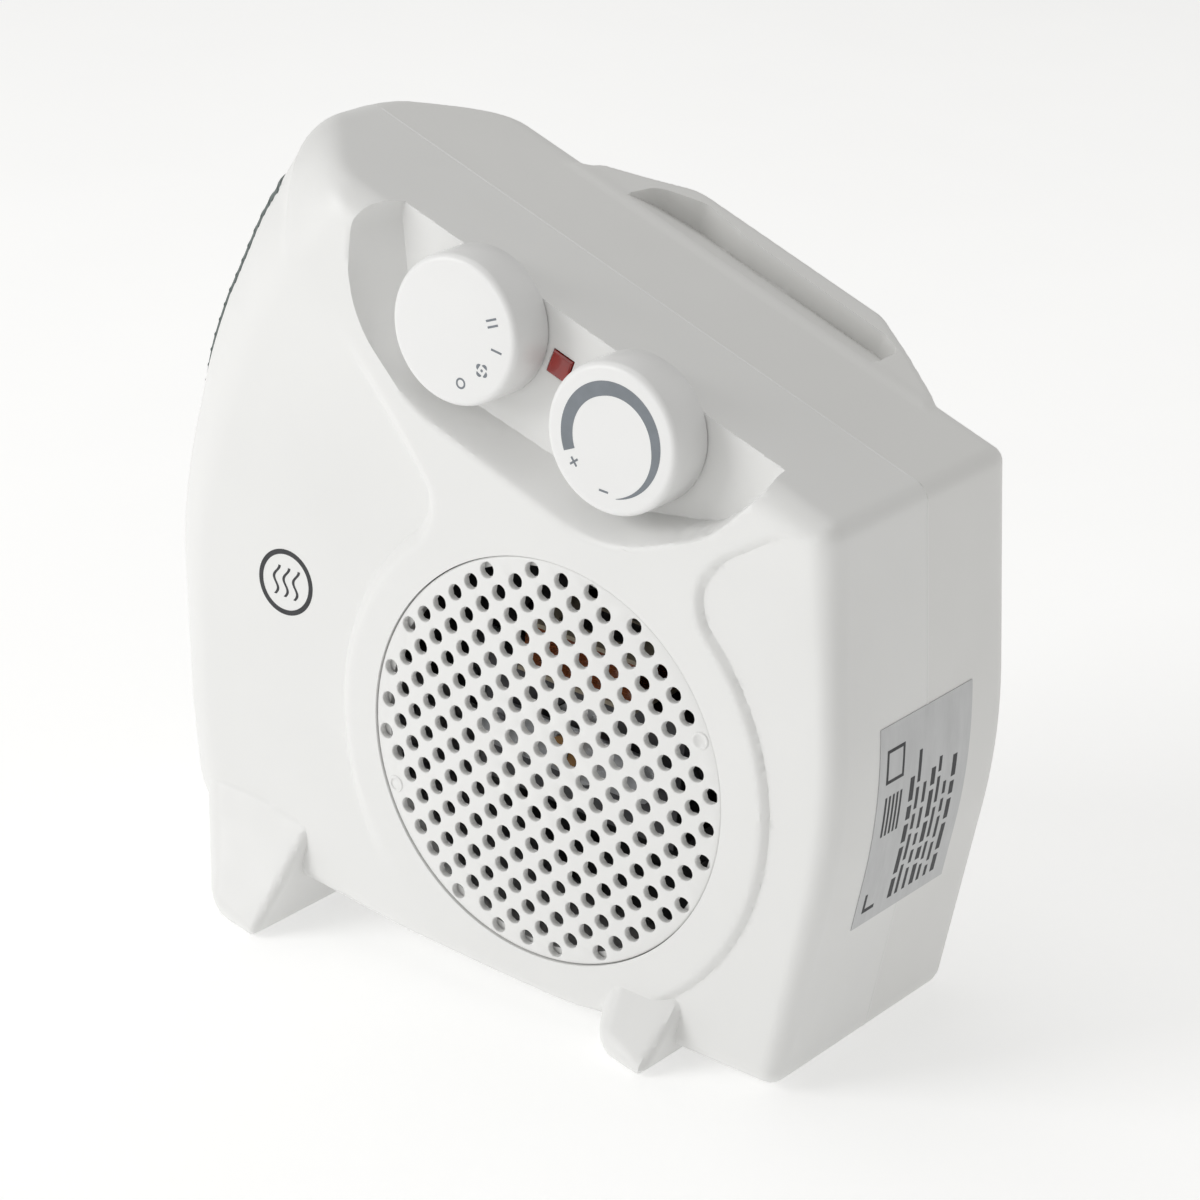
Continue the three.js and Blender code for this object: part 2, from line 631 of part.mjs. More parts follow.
STACK.bars.forEach((y, i) => part(`ceramic_bar_${i + 1}`, ceramicBar(y), 'ceramic'));
[[50, 54.2], [59.2, 63.2], [68.2, 72.2], [77.2, 81.4]].forEach(([y0, y1], i) =>
  part(`fin_pack_${i + 1}`, finPack(y0, y1), 'aluminium'));
part('element_holder_upper', elementHolder(STACK.z1 + GAP, 96, [88, 93]), 'cream_plastic');
part('element_holder_lower', elementHolder(3, STACK.z0 - GAP, [6, 11]), 'cream_plastic');
STACK.bars.forEach((y, i) => part(`element_tab_${i + 1}`, elementTab(y), 'brass'));
part('thermal_cutout', thermalCutout(), 'steel');
part('cord_gland', cordGland(), 'black_plastic');
part('terminal_block', terminalBlock(), 'cream_plastic');
part('rating_label', ratingLabel(), 'sticker');
part('round_badge', roundBadge(), 'ink');

// Lean the design about Y, then set its soles on Z = 0 and centre it over the origin.
design.rotation.y = LEAN;
heater.updateMatrixWorld(true);
const bounds = new THREE.Box3().setFromObject(heater, true);
const middle = bounds.getCenter(new THREE.Vector3());
design.position.set(-middle.x, -middle.y, -bounds.min.z);

export default heater;
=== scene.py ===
"""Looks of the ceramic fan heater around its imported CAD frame.

Shapes are worked out in the design frame of the heater: millimetres, origin at the centre of the
intake grille on the front face, X right, Y into the body, Z up the body. to_row() leans them and
puts them where the CAD parts are, in metres.
"""

import json
import math

import bpy
import numpy as np
from mathutils import Matrix, Vector
from mathutils.geometry import delaunay_2d_cdt


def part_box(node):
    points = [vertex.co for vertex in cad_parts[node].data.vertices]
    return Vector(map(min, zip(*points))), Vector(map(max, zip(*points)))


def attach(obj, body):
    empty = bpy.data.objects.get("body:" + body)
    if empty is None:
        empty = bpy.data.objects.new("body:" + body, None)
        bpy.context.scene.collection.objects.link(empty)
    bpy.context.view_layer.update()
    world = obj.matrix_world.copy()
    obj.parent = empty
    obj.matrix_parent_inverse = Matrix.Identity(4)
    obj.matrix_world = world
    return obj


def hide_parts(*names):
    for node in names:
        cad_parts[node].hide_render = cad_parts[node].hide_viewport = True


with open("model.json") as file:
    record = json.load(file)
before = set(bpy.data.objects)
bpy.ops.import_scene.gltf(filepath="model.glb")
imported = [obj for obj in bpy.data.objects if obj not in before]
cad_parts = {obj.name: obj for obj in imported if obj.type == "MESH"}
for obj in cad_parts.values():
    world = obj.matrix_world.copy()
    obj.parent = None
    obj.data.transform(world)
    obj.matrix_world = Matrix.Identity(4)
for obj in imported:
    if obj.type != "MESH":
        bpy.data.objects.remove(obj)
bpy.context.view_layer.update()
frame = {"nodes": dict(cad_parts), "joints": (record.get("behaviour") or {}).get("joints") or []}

# ---- driving dimensions, in millimetres of the design frame ----
LEAN = math.radians(4.7)
FAN_DEPTH = 45            # the fan joint's point lies this far behind the front face
DEPTH = 95
PARTING = DEPTH / 2
SEAM = 0.35
WALL = 2.6
CORNER_WALL = 4           # added to the wall in the top left corner
WING_STEP = 3.5
STEP_WIDTH = 5
RIGHT_STEP = 1.8          # the right wing lies less deep, behind a narrower step
RIGHT_STEP_WIDTH = 2.5
FADE_WIDTH = 45           # reach of the slope that replaces the step in the corners
PLATEAU_R = 74
GRILLE_R = 59.3
HOLE_R = 2.3
PITCH = 5
DOME = 2.7
SCOOP = 13.5              # depth of the knob recess
WALL_CURVE = 1.55         # power of its wall's curve, and of the blunter wall in its left lobe
LOBE_CURVE = 0.75
KNOB_R = 21.25
KNOB_HEIGHT = 14.7
MODE_AT = (-41.9, 115.5)
THERMOSTAT_AT = (12.5, 100.6)
LAMP_AT = (-16.1, 109.3)
TOP_SLOPE = math.radians(-16.3)
TOP_LEFT = (-111.5, 152)
SOLE = (-87.4, -85.4)     # a point of the sole line
FOOT_REACH = 14.5
FOOT_CREASE = -57.3       # height where the feet start to stand out
FOOT_TOP = -44            # height inside the body where they end
# Left and right edge of each foot: x at the crease and at the sole.
FEET = [((-126, -109), (-82.5, -87.4)), ((23, 30), (52.7, 51))]
OUTLET_Z = (-5, 133)
OUTLET_Y = (16, 79)
OUTLET_RIGHT = -100       # the opening is cut through whatever lies left of this x
RIB_HEIGHT = [(62, 0.2), (78, 0.9), (110, 0.9), (133, 0.7)]   # over the side, by height
CASE_SCREWS = [(-90, 112), (64, 82), (74, -50), (-104, -52)]
INLET_AT = (72, -20)
STEP = 1.45      # cell of the shells' surface

# Corners of the side outline: x, z and radius, clockwise from the top left.
OUTLINE = [(-115.3, 153.1, 7.9), (82, 95.3, 6), (94.4, 12.5, 170),
           (85, -70.5, 6), (-130.4, -71.5, 24), (-151.4, 53, 170), (-130.3, 128.1, 81.8)]
# The same left side, carried on past the top.
LEFT_SIDE = [(-70.3, 228.1, 1), (200, 228.1, 1), (200, -200, 1), (-106.4, -200, 1),
             (-130.4, -71.5, 1), (-151.4, 53, 170), (-130.3, 128.1, 81.8)]
# Radius of the front edge by direction from the middle of the body, in degrees.
FRONT_EDGE = [(-150, 8), (-125, 4), (-90, 3), (-45, 6), (0, 6.5), (30, 6.5), (60, 9), (100, 10)]
TOP_FRONT_EDGE = 10
REAR_EDGE = 12
# Radii of the left side's front and rear edge by height.
LEFT_EDGE = [(-60, 16, 12), (-30, 14, 16), (20, 17, 17), (60, 25, 21), (95, 27, 29), (130, 37, 68)]
# The plateau above its round part, which widens past its neck to take in the knob recess.
NECK = [(-112, 165, 1), (-100, 122, 20), (-68, 87, 30), (-40, 55, 1), (0, 40, 1),
        (34, 52, 1), (50, 77, 20), (66, 89, 20), (92, 97, 10), (120, 104, 1)]
# Rim of the knob recess on the front face, and the flat floor inside it.
SCOOP_RIM = [(-45, 153, 1), (-80.5, 150, 21), (-81, 111.5, 36), (-53.9, 87.7, 39.7),
             (12.6, 66, 42.7), (46, 82.9, 30.3), (61.3, 100, 8), (66, 130, 1)]
SCOOP_FLOOR = [(-45, 151, 1), (-76, 148, 12), (-69.5, 118, 20), (-54, 93, 24), (12, 76.5, 30),
               (42, 82, 22), (58, 101, 5), (58, 130, 1)]
# Plan of the grip's ledge and of its thumb recess: along the top from its left corner, and depth.
LEDGE = [(44, 80, 1), (49, 94, 8), (60, 103, 30), (72, 114, 12), (142, 113.4, 10), (158, 103.5, 25),
         (176, 91, 8), (180, 80, 1)]
RECESS = [(64, 82, 7), (66, 100, 9), (79, 108, 5), (96, 105, 30), (148, 103.5, 4), (156, 100, 5),
          (156, 82, 6)]
RECESS_EDGE = 86
RECESS_SLOPE = 0.42

HUB = next(j for j in frame["joints"] if j["name"] == "fan_spin")["pos_m"]


def to_row(points):
    """Design millimetres to metres in the row's frame."""
    p = np.asarray(points, float).reshape(-1, 3) / 1000
    c, s = math.cos(LEAN), math.sin(LEAN)
    x = p[:, 0] * c + p[:, 2] * s + HUB[0]
    z = -p[:, 0] * s + p[:, 2] * c + HUB[2]
    return np.stack([x, p[:, 1] - FAN_DEPTH / 1000 + HUB[1], z], 1)


# ---- plane paths with rounded corners, and their exact distance ----
class Path:
    """A closed polygon with rounded corners, each given as x, z and radius."""

    def __init__(self, corners):
        points = np.array([c[:2] for c in corners], float)
        count = len(points)
        area = sum(points[i][0] * points[(i + 1) % count][1] - points[(i + 1) % count][0] * points[i][1]
                   for i in range(count))
        self.way = -1 if area < 0 else 1
        self.arcs, starts, ends = [], [], []
        for i, (_, _, radius) in enumerate(corners):
            here = points[i]
            before, after = points[i - 1] - here, points[(i + 1) % count] - here
            before_length, after_length = np.linalg.norm(before), np.linalg.norm(after)
            before, after = before / before_length, after / after_length
            half = math.acos(np.clip(before @ after, -1, 1)) / 2
            reach = min(radius / math.tan(half), 0.499 * before_length, 0.499 * after_length)
            radius = reach * math.tan(half)
            inward = (before + after) / np.linalg.norm(before + after)
            centre = here + inward * radius / math.sin(half)
            turn = after[1] * before[0] - after[0] * before[1]
            convex = 1 if turn * self.way < 0 else -1
            self.arcs.append((centre, radius, -inward, math.pi / 2 - half, convex))
            starts.append(here + before * reach)
            ends.append(here + after * reach)
        self.sides = [(ends[i - 1], starts[i]) for i in range(count)]

    def polyline(self, spacing):
        """Points along the path with their outward normals."""
        found = []
        count = len(self.arcs)
        for i in range(count):
            centre, radius, middle, half, convex = self.arcs[i]
            steps = max(2, round(2 * half * radius / spacing))
            heading = math.atan2(middle[1], middle[0])
            for a in np.linspace(half, -half, steps + 1) * convex * -self.way + heading:
                normal = np.array([math.cos(a), math.sin(a)])
                found.append((centre + normal * radius, normal * convex))
            start, end = self.sides[(i + 1) % count]
            steps = round(np.linalg.norm(end - start) / spacing)
            for k in range(1, steps):
                found.append((start + (end - start) * k / steps, found[-1][1]))
        return found

    def distance(self, x, z):
        """Distance to the path, negative inside it."""
        best = np.full(np.broadcast(x, z).shape, 1e9)
        sign = np.ones_like(best)
        for start, end in self.sides:
            along = end - start
            share = ((x - start[0]) * along[0] + (z - start[1]) * along[1]) / (along @ along)
            share = np.clip(share, 0, 1)
            dx, dz = x - start[0] - share * along[0], z - start[1] - share * along[1]
            away = np.hypot(dx, dz)
            side = np.where((along[0] * dz - along[1] * dx) * self.way > 0, -1, 1)
            closer = away < best
            best, sign = np.where(closer, away, best), np.where(closer, side, sign)
        for centre, radius, middle, half, convex in self.arcs:
            dx, dz = x - centre[0], z - centre[1]
            from_centre = np.hypot(dx, dz)
            away = np.abs(from_centre - radius)
            facing = dx * middle[0] + dz * middle[1] >= from_centre * math.cos(half)
            closer = facing & (away < best)
            side = np.where(from_centre > radius, convex, -convex)
            best, sign = np.where(closer, away, best), np.where(closer, side, sign)
        return best * sign


outline, left_side, neck = Path(OUTLINE), Path(LEFT_SIDE), Path(NECK)
scoop_rim, scoop_floor = Path(SCOOP_RIM), Path(SCOOP_FLOOR)
ledge, recess = Path(LEDGE), Path(RECESS)


# ---- solids as distances, negative inside ----
def round_max(a, b, radius):
    """What two solids share, with the outer edge between them rounded."""
    return np.minimum(np.maximum(a, b), -radius) + np.hypot(np.maximum(a + radius, 0),
                                                            np.maximum(b + radius, 0))


def round_min(a, b, radius):
    """Two solids joined, with a fillet in the corner between them."""
    return -round_max(-a, -b, radius)


def ease(value, start, end):
    share = np.clip((value - start) / (end - start), 0, 1)
    return share * share * (3 - 2 * share)


def top_frame(x, z):
    """Distance along the top from its left corner, and height over it."""
    dx, dz = x - TOP_LEFT[0], z - TOP_LEFT[1]
    c, s = math.cos(TOP_SLOPE), math.sin(TOP_SLOPE)
    return dx * c + dz * s, dz * c - dx * s


def edge_radii(x, z):
    """Radius of the rounded edge between the sides and the front face, and the rear face."""
    angle = np.degrees(np.arctan2(z - 10, x - 10))
    angle = np.where(angle < -150, angle + 360, angle)
    towards_top = top_frame(x, z)[1] - left_side.distance(x, z)
    heights, left_front, left_rear = zip(*LEFT_EDGE)
    front, rear = np.interp(z, heights, left_front), np.interp(z, heights, left_rear)
    front = front + (TOP_FRONT_EDGE - front) * ease(towards_top, -6, 30)
    rear = rear + (REAR_EDGE - rear) * ease(towards_top, -14.9, 27)
    left = angle > FRONT_EDGE[-1][0]
    return np.where(left, front, np.interp(angle, *zip(*FRONT_EDGE))), np.where(left, rear, REAR_EDGE)


def front_height(x, z):
    """Depth of the front face: the plateau at 0, and the wings a step behind it. In the corners
    the step gives way to a long slope."""
    outside = round_min(np.hypot(x, z) - PLATEAU_R, neck.distance(x, z), 12)
    rightness = ease(x, -10, 30)
    height = WING_STEP + (RIGHT_STEP - WING_STEP) * rightness
    width = STEP_WIDTH + (RIGHT_STEP_WIDTH - STEP_WIDTH) * rightness
    step = 1 - np.cos(math.pi / 2 * np.clip(outside / width + 1, 0, 1))
    slope = ease(outside, -STEP_WIDTH, FADE_WIDTH)
    fade = np.where(x < 0, ease(z, 66, 112) + 1 - ease(z, -60, -15), ease(z, 78, 100))
    return height * (step + (slope - step) * fade)


def scoop_height(x, z, grow=0.0, power=WALL_CURVE):
    """Depth of the knob recess, far out in front outside its rim; it can be grown for its wall."""
    from_rim = np.maximum(grow - scoop_rim.distance(x, z), 0)
    from_floor = np.maximum(scoop_floor.distance(x, z) - grow, 0)
    share = from_rim / np.maximum(from_rim + from_floor, 1e-6)
    bend = power - (power - LOBE_CURVE) * ease(-x, 45, 70)
    return np.where(from_rim > 0, (SCOOP + grow) * share ** bend, -30.0)


def sole_height(x):
    return SOLE[1] + (x - SOLE[0]) * math.tan(LEAN)


def slanted(x, z, top, sole):
    """Distance to the right of a plane that leans from x = top at the crease to x = sole below."""
    drop = FOOT_CREASE - sole_height(sole)
    length = math.hypot(drop, top - sole)
    return ((x - sole) * drop - (z - sole_height(sole)) * (top - sole)) / length


def foot(x, y, z, left, right):
    """A fin from the lower body to its sole, which stands out past both faces."""
    depth = np.minimum(y, DEPTH - y)
    drop = FOOT_CREASE - sole_height(right[1])
    front = -(depth * drop + (z - FOOT_CREASE) * -FOOT_REACH) / math.hypot(drop, FOOT_REACH)
    fin = round_max(front, slanted(x, z, *right), 2.6)
    below = round_max(sole_height(x) - z, -slanted(x, z, *left), 9)
    corner = np.interp(x, [left[1], right[1]], [12, 3])
    return np.maximum(round_max(fin, below, corner), z - FOOT_TOP)


def outer(x, y, z):
    """The whole closed body: both shells without their hollow."""
    edge = outline.distance(x, z)
    front_radius, rear_radius = edge_radii(x, z)
    front = round_max(edge, front_height(x, z) - y, front_radius)
    body = np.maximum(front, round_max(edge, y - DEPTH, rear_radius))
    along, over = top_frame(x, z)
    grip = round_max(round_max(ledge.distance(along, y), over, 3.5), -15 - over, 5)
    body = np.maximum(round_min(body, grip, 1.5), -thumb_recess(x, y, z))
    feet = np.minimum(*(foot(x, y, z, left, right) for left, right in FEET))
    return np.minimum(body, feet)


def thumb_recess(x, y, z):
    along, over = top_frame(x, z)
    floor = -RECESS_SLOPE * (y - RECESS_EDGE)
    return round_max(recess.distance(along, y), floor - over, 0.6)


def hollow(x, y, z):
    """The room inside the shells, which leaves a wall under the knob and thumb recesses."""
    inset = outline.distance(x, z) + WALL
    front_radius, rear_radius = edge_radii(x, z)
    room = np.maximum(round_max(inset, WING_STEP + WALL - y, np.maximum(front_radius - WALL, 6)),
                      round_max(inset, y - DEPTH + WALL, np.maximum(rear_radius - WALL, 6)))
    room = room + CORNER_WALL * ease(-x, 50, 85) * ease(z, 60, 100)
    room = np.maximum(room, scoop_height(x, z, 3, 0.8) - y)
    return np.maximum(room, WALL - thumb_recess(x, y, z))


def scooped(x, y, z):
    """The body with the knob recess in it."""
    body, inside = outer(x, y, z), scoop_height(x, z) - y
    soft = np.maximum(0.9 - np.abs(body - inside), 0)
    return np.maximum(body, inside) + soft * soft / 3.6


def cylinder(x, z, spot, radius):
    return np.hypot(x - spot[0], z - spot[1]) - radius


def outlet_box(x, y, z):
    middle_y, middle_z = sum(OUTLET_Y) / 2, sum(OUTLET_Z) / 2
    across = np.abs(y - middle_y) - (OUTLET_Y[1] - OUTLET_Y[0]) / 2
    upright = np.abs(z - middle_z) - (OUTLET_Z[1] - OUTLET_Z[0]) / 2
    return np.maximum(round_max(across, upright, 3), x - OUTLET_RIGHT)


def lamp_opening(x, z, size):
    along, over = top_frame(x, z)
    lamp_along, lamp_over = top_frame(*LAMP_AT)
    return np.maximum(np.abs(along - lamp_along), np.abs(over - lamp_over)) - size


def front_shell(x, y, z):
    shell = np.maximum(scooped(x, y, z), -hollow(x, y, z))
    radius = np.hypot(x, z)
    shell = np.maximum(shell, -np.maximum(radius - GRILLE_R - 0.25, y - 2.9))
    shell = np.maximum(shell, -np.maximum(radius - GRILLE_R + 3, y - 20))
    for spot in (MODE_AT, THERMOSTAT_AT):
        shell = np.maximum(shell, -np.maximum(cylinder(x, z, spot, 5.6), y - 22))
    shell = np.maximum(shell, -np.maximum(lamp_opening(x, z, 3.7), y - 22))
    shell = np.maximum(shell, -outlet_box(x, y, z))
    return np.maximum(shell, y - PARTING + SEAM / 2)


def rear_shell(x, y, z):
    shell = np.maximum(outer(x, y, z), -hollow(x, y, z))
    for spot in CASE_SCREWS:
        shell = np.minimum(shell, np.maximum(cylinder(x, z, spot, 6), np.abs(y - 72) - 20.6))
        shell = np.maximum(shell, -np.maximum(cylinder(x, z, spot, 4), DEPTH - 3.2 - y))
        shell = np.maximum(shell, -cylinder(x, z, spot, 2.2))
    shell = np.maximum(shell, -cylinder(x, z, INLET_AT, 6.4))
    shell = np.maximum(shell, -outlet_box(x, y, z))
    return np.maximum(shell, PARTING + SEAM / 2 - y)


# ---- the surface of such a solid ----
def slopes(field, p):
    """Unit normals of the field at the points."""
    reach, normal = 0.02, np.zeros_like(p)
    for axis in range(3):
        shift = np.zeros(3)
        shift[axis] = reach
        normal[:, axis] = field(*(p + shift).T) - field(*(p - shift).T)
    return normal / np.maximum(np.linalg.norm(normal, axis=1, keepdims=True), 1e-9)


def crossings(field, low, step, value, axis):
    """Where grid lines along an axis meet the surface: cell indices, points, and which way out is."""
    first = value[tuple(slice(0, -1) if a == axis else slice(None) for a in range(3))]
    second = value[tuple(slice(1, None) if a == axis else slice(None) for a in range(3))]
    index = np.argwhere((first < 0) != (second < 0))
    start = low + step * index
    f0, f1 = (v[tuple(index.T)].astype(float) for v in (first, second))
    leaving = f0 < 0
    t0, t1 = np.zeros(len(index)), np.ones(len(index))
    for _ in range(3):
        share = t0 + (t1 - t0) * np.clip(f0 / (f0 - f1), 0.02, 0.98)
        points = start.copy()
        points[:, axis] += step * share
        found = field(*points.T)
        same = (found < 0) == leaving
        t0, f0 = np.where(same, share, t0), np.where(same, found, f0)
        t1, f1 = np.where(same, t1, share), np.where(same, f1, found)
    points[:, axis] = start[:, axis] + step * (t0 + (t1 - t0) * np.clip(f0 / (f0 - f1), 0, 1))
    return index, points, leaving


def contour(field, low, high, step):
    """The closed surface where the field is 0, by dual contouring: each cell that it crosses holds
    one vertex, placed where the tangent planes through the cell's edges meet, so creases stay."""
    low = np.array(low, float)
    count = np.ceil((np.array(high) - low) / step).astype(int) + 1
    lines = [low[a] + step * np.arange(count[a]) for a in range(3)]
    value = field(*np.meshgrid(*lines, indexing="ij", sparse=True))
    value = np.broadcast_to(value, count)
    owners, normals, points, quads = [], [], [], []
    for axis in range(3):
        index, where, leaving = crossings(field, low, step, value, axis)
        normal = slopes(field, where)
        loop = []
        for db, dc in ((0, 0), (-1, 0), (-1, -1), (0, -1)):
            cell = index.copy()
            cell[:, (axis + 1) % 3] += db
            cell[:, (axis + 2) % 3] += dc
            loop.append(np.ravel_multi_index(cell.T, count))
            points.append(where)
            normals.append(normal)
        owners += loop
        loop = np.stack(loop, 1)
        quads.append(np.where(leaving[:, None], loop, loop[:, ::-1]))
    cells, owner = np.unique(np.concatenate(owners), return_inverse=True)
    quads = np.searchsorted(cells, np.concatenate(quads))
    points, normals = np.concatenate(points), np.concatenate(normals)
    spots, crease = place(points, normals, owner, len(cells))
    corner = low + step * np.stack(np.unravel_index(cells, count), 1)
    spots = np.clip(spots, corner - 0.1 * step, corner + 1.1 * step)
    spots = relax(field, spots, quads, crease)
    return spots, split(field, spots, quads, crease)


def place(points, normals, owner, count):
    """Each cell's vertex from the planes in it, and whether it lies on a crease."""
    total = np.bincount(owner, minlength=count)[:, None]
    middle = np.stack([np.bincount(owner, points[:, a], count) for a in range(3)], 1) / total
    pull = np.einsum("ij,ij->i", normals, points - middle[owner])
    matrix = np.zeros((count, 3, 3))
    right = np.zeros((count, 3))
    for a in range(3):
        right[:, a] = np.bincount(owner, normals[:, a] * pull, count)
        for b in range(3):
            matrix[:, a, b] = np.bincount(owner, normals[:, a] * normals[:, b], count)
    matrix /= total[:, :, None]
    right /= total
    crease = np.linalg.eigvalsh(matrix)[:, 1] > 0.012
    matrix += 0.008 * np.eye(3)
    return middle + np.linalg.solve(matrix, right[:, :, None])[:, :, 0], crease


def relax(field, spots, quads, crease):
    """Evens out the mesh where the surface is smooth, and puts those points back on it."""
    count = len(spots)
    ends = np.concatenate([quads[:, [i, (i + 1) % 4]] for i in range(4)])
    ends = np.concatenate([ends, ends[:, ::-1]])
    total = np.maximum(np.bincount(ends[:, 0], minlength=count), 1)[:, None]
    free = ~crease
    for _ in range(3):
        mean = np.stack([np.bincount(ends[:, 0], spots[ends[:, 1], a], count) for a in range(3)], 1) / total
        target = spots[free] * 0.4 + mean[free] * 0.6
        normal = slopes(field, spots[free])
        move = target - spots[free]
        move -= normal * np.einsum("ij,ij->i", normal, move)[:, None]
        spots[free] += move
        normal = slopes(field, spots[free])
        reach = field(*spots[free].T)
        spots[free] -= normal * np.clip(reach, -0.5, 0.5)[:, None]
    return spots


def split(field, spots, quads, crease):
    """Quads as faces; one at a crease is cut along the diagonal that lies closer to the surface."""
    near = crease[quads].any(1)
    faces = quads[~near].tolist()
    cut = quads[near]
    one = np.abs(field(*((spots[cut[:, 0]] + spots[cut[:, 2]]) / 2).T))
    two = np.abs(field(*((spots[cut[:, 1]] + spots[cut[:, 3]]) / 2).T))
    turned = np.where((one <= two)[:, None], cut, np.roll(cut, -1, axis=1))
    return faces + turned[:, [0, 1, 2]].tolist() + turned[:, [0, 2, 3]].tolist()


# ---- making pieces ----
def piece(name, points, faces, material, body, slot, nodes=(), sharp=32):
    """A mesh piece from design millimetres, smooth except at edges sharper than an angle."""
    mesh = bpy.data.meshes.new(name)
    mesh.from_pydata(to_row(points).tolist(), [], faces)
    mesh.validate()
    mesh.polygons.foreach_set("use_smooth", np.ones(len(mesh.polygons), bool))
    mesh.set_sharp_from_angle(angle=math.radians(sharp))
    mesh.materials.append(material)
    made = bpy.data.objects.new(name, mesh)
    bpy.context.scene.collection.objects.link(made)
    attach(made, body)
    if nodes:
        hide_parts(*nodes)
    return made


def joined(parts):
    """One list of points and faces from several."""
    points, faces = [], []
    for more_points, more_faces in parts:
        base = len(points)
        points += [tuple(p) for p in more_points]
        faces += [tuple(i + base for i in face) for face in more_faces]
    return points, faces


def turned(spot, profile, sides=96):
    """A turned solid about the Y axis through a spot; the profile lists r and y, axis to axis."""
    points, faces = [], []
    rings = []
    for radius, y in profile:
        if radius < 1e-6:
            rings.append([len(points)] * sides)
            points.append((spot[0], y, spot[1]))
            continue
        rings.append(list(range(len(points), len(points) + sides)))
        for i in range(sides):
            angle = 2 * math.pi * i / sides
            points.append((spot[0] + radius * math.cos(angle), y, spot[1] + radius * math.sin(angle)))
    for first, second in zip(rings, rings[1:]):
        for i in range(sides):
            j = (i + 1) % sides
            loop = list(dict.fromkeys([first[i], second[i], second[j], first[j]]))
            if len(loop) > 2:
                faces.append(tuple(loop))
    return points, faces


def arc(centre, radius, start, end, steps):
    """Points of an arc, angles in degrees."""
    angles = np.radians(np.linspace(start, end, steps + 1))
    return [(centre[0] + radius * math.cos(a), centre[1] + radius * math.sin(a)) for a in angles]


def slab(loop, y0, y1):
    """A thin solid with a drawn outline in x and z, between two depths."""
    count = len(loop)
    points = [(x, y0, z) for x, z in loop] + [(x, y1, z) for x, z in loop]
    area = sum(loop[i - 1][0] * loop[i][1] - loop[i][0] * loop[i - 1][1] for i in range(count))
    order = list(range(count)) if area > 0 else list(range(count - 1, -1, -1))
    faces = [tuple(order), tuple(i + count for i in reversed(order))]
    for k in range(count):
        i, j = order[k], order[(k + 1) % count]
        faces.append((j, i, i + count, j + count))
    return points, faces


def swept(rings):
    """Rings of points with one count each, joined by walls and closed at both ends."""
    count = len(rings[0])
    points = [tuple(p) for ring in rings for p in ring]
    faces = [tuple(range(count - 1, -1, -1)), tuple(range(len(points) - count, len(points)))]
    for k in range(len(rings) - 1):
        for i in range(count):
            a, b = k * count + i, k * count + (i + 1) % count
            faces.append((a, b, b + count, a + count))
    return points, faces


def side_at(z, way):
    """Where the outline's left (-1) or right (1) side is at a height, and its outward normal."""
    near, far = 60.0 * way, 175.0 * way
    for _ in range(40):
        middle = (near + far) / 2
        if outline.distance(np.array(middle), np.array(float(z))) < 0:
            near = middle
        else:
            far = middle
    here = np.array([middle, z])
    normal = np.array([
        outline.distance(np.array(middle + 0.1), np.array(float(z))),
        outline.distance(np.array(middle), np.array(z + 0.1)),
    ])
    return here, normal / np.linalg.norm(normal)


def on_side(way, z, out, y):
    """A point a little out from the narrow side."""
    here, normal = side_at(z, way)
    x, z = here + normal * out
    return (x, y, z)


# ---- materials ----
def material(name, colour, other, roughness, metallic=0.0, mottle=45, grain=1400, bump=0.06,
             stretch=(1, 1, 1), uneven=0.06, coat=0.0, lines=None, line_depth=0.4):
    """A finish of two close tones in soft patches, uneven roughness and a fine surface grain.
    lines is the spacing in metres of the windings or sheets that stretch lays along Y or Z."""
    made = bpy.data.materials.new(name)
    made.use_nodes = True
    nodes, links = made.node_tree.nodes, made.node_tree.links
    shader = nodes["Principled BSDF"]
    shader.inputs["Metallic"].default_value = metallic
    shader.inputs["Coat Weight"].default_value = coat
    place_in = nodes.new("ShaderNodeTexCoord")
    mapping = nodes.new("ShaderNodeMapping")
    mapping.inputs["Scale"].default_value = stretch
    links.new(place_in.outputs["Object"], mapping.inputs["Vector"])

    def noise(scale, detail):
        node = nodes.new("ShaderNodeTexNoise")
        node.inputs["Scale"].default_value = scale
        node.inputs["Detail"].default_value = detail
        links.new(mapping.outputs["Vector"], node.inputs["Vector"])
        return node.outputs["Fac"]

    patches, fine = noise(mottle, 3), noise(grain, 2)
    tones = nodes.new("ShaderNodeValToRGB")
    tones.color_ramp.elements[0].position = 0.3
    tones.color_ramp.elements[1].position = 0.7
    tones.color_ramp.elements[0].color = (*colour, 1)
    tones.color_ramp.elements[1].color = (*other, 1)
    links.new(patches, tones.inputs["Fac"])
    links.new(tones.outputs["Color"], shader.inputs["Base Color"])
    rough = nodes.new("ShaderNodeMapRange")
    rough.inputs["From Min"].default_value = 0.3
    rough.inputs["From Max"].default_value = 0.7
    rough.inputs["To Min"].default_value = max(roughness - uneven, 0.04)
    rough.inputs["To Max"].default_value = min(roughness + uneven, 1)
    links.new(noise(mottle * 6, 3), rough.inputs["Value"])
    links.new(rough.outputs["Result"], shader.inputs["Roughness"])
    relief = nodes.new("ShaderNodeBump")
    relief.inputs["Strength"].default_value = bump
    relief.inputs["Distance"].default_value = 0.0002
    links.new(fine, relief.inputs["Height"])
    last = relief
    if lines:
        last = line_relief(nodes, links, place_in, lines, line_depth, relief)
    links.new(last.outputs["Normal"], shader.inputs["Normal"])
    return made


